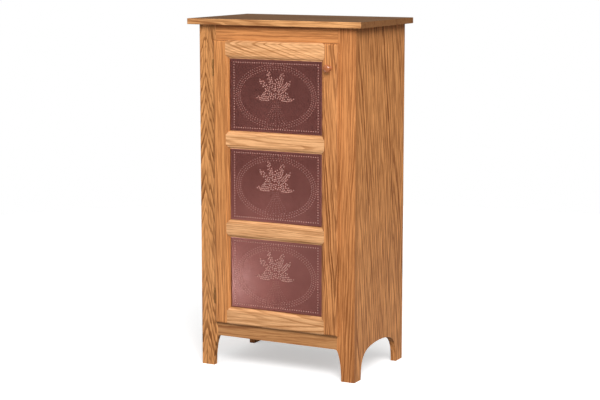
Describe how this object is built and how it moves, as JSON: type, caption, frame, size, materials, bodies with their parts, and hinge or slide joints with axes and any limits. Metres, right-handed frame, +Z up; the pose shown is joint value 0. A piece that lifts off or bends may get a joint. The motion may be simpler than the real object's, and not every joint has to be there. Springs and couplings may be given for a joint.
{
  "type": "pie safe cabinet",
  "caption": "Tall free-standing oak cupboard with one framed door of three punched copper panels, a turned knob, two shelves and sawn feet.",
  "frame": {"origin": "centre of the bounding box in plan, on the floor", "axes": "+Z up, -Y the front with the door, +X the knob side seen from the front"},
  "size_m": [0.626, 0.4152, 1.156],
  "materials": {
    "frame_oak": "satin varnish",
    "door_oak": "satin varnish",
    "side_oak": "satin varnish",
    "top_oak": "dark satin varnish",
    "inner_oak": "thin varnish",
    "back_plywood": "bare plywood",
    "punched_copper": "punched sheet, dark patina",
    "stained_knob": "stained and polished",
    "antique_brass": "antique, satin",
    "steel": "zinc plated",
    "catch_plastic": "moulded",
    "felt": "felt"
  },
  "bodies": {
    "cabinet": {"back_nailer_bottom": "inner_oak", "back_nailer_top": "inner_oak", "back_panel": "back_plywood", "bottom_board": "inner_oak", "frame_bottom_rail": "frame_oak", "frame_stile_left": "frame_oak", "frame_stile_right": "frame_oak", "frame_top_rail": "frame_oak", "hinge_high_frame_leaf": "antique_brass", "hinge_high_pin": "antique_brass", "hinge_low_frame_leaf": "antique_brass", "hinge_low_pin": "antique_brass", "magnetic_catch": "catch_plastic", "shelf_1": "inner_oak", "shelf_1_pin_left_back": "steel", "shelf_1_pin_left_front": "steel", "shelf_1_pin_right_back": "steel", "shelf_1_pin_right_front": "steel", "shelf_2": "inner_oak", "shelf_2_pin_left_back": "steel", "shelf_2_pin_left_front": "steel", "shelf_2_pin_right_back": "steel", "shelf_2_pin_right_front": "steel", "side_panel_left": "side_oak", "side_panel_right": "side_oak", "top_board": "top_oak", "top_cleat_left": "inner_oak", "top_cleat_right": "inner_oak", "top_screw_1": "steel", "top_screw_2": "steel", "top_screw_3": "steel", "top_screw_4": "steel"},
    "door": {"bottom_stop_high": "inner_oak", "bottom_stop_left": "inner_oak", "bottom_stop_low": "inner_oak", "bottom_stop_right": "inner_oak", "bumper_high": "felt", "bumper_low": "felt", "copper_panel_bottom": "punched_copper", "copper_panel_middle": "punched_copper", "copper_panel_top": "punched_copper", "door_rail_bottom": "door_oak", "door_rail_lower": "door_oak", "door_rail_top": "door_oak", "door_rail_upper": "door_oak", "door_stile_left": "door_oak", "door_stile_right": "door_oak", "hinge_high_door_leaf": "antique_brass", "hinge_low_door_leaf": "antique_brass", "knob": "stained_knob", "knob_screw": "steel", "middle_stop_high": "inner_oak", "middle_stop_left": "inner_oak", "middle_stop_low": "inner_oak", "middle_stop_right": "inner_oak", "strike_plate": "steel", "top_stop_high": "inner_oak", "top_stop_left": "inner_oak", "top_stop_low": "inner_oak", "top_stop_right": "inner_oak"}
  },
  "joints": [
    {"name": "door_hinge", "type": "hinge", "parent": "cabinet", "child": "door", "pos_m": [-0.2299, -0.17025, 0.6], "axis": [0, 0, -1], "range_deg": [0, 120]}
  ]
}
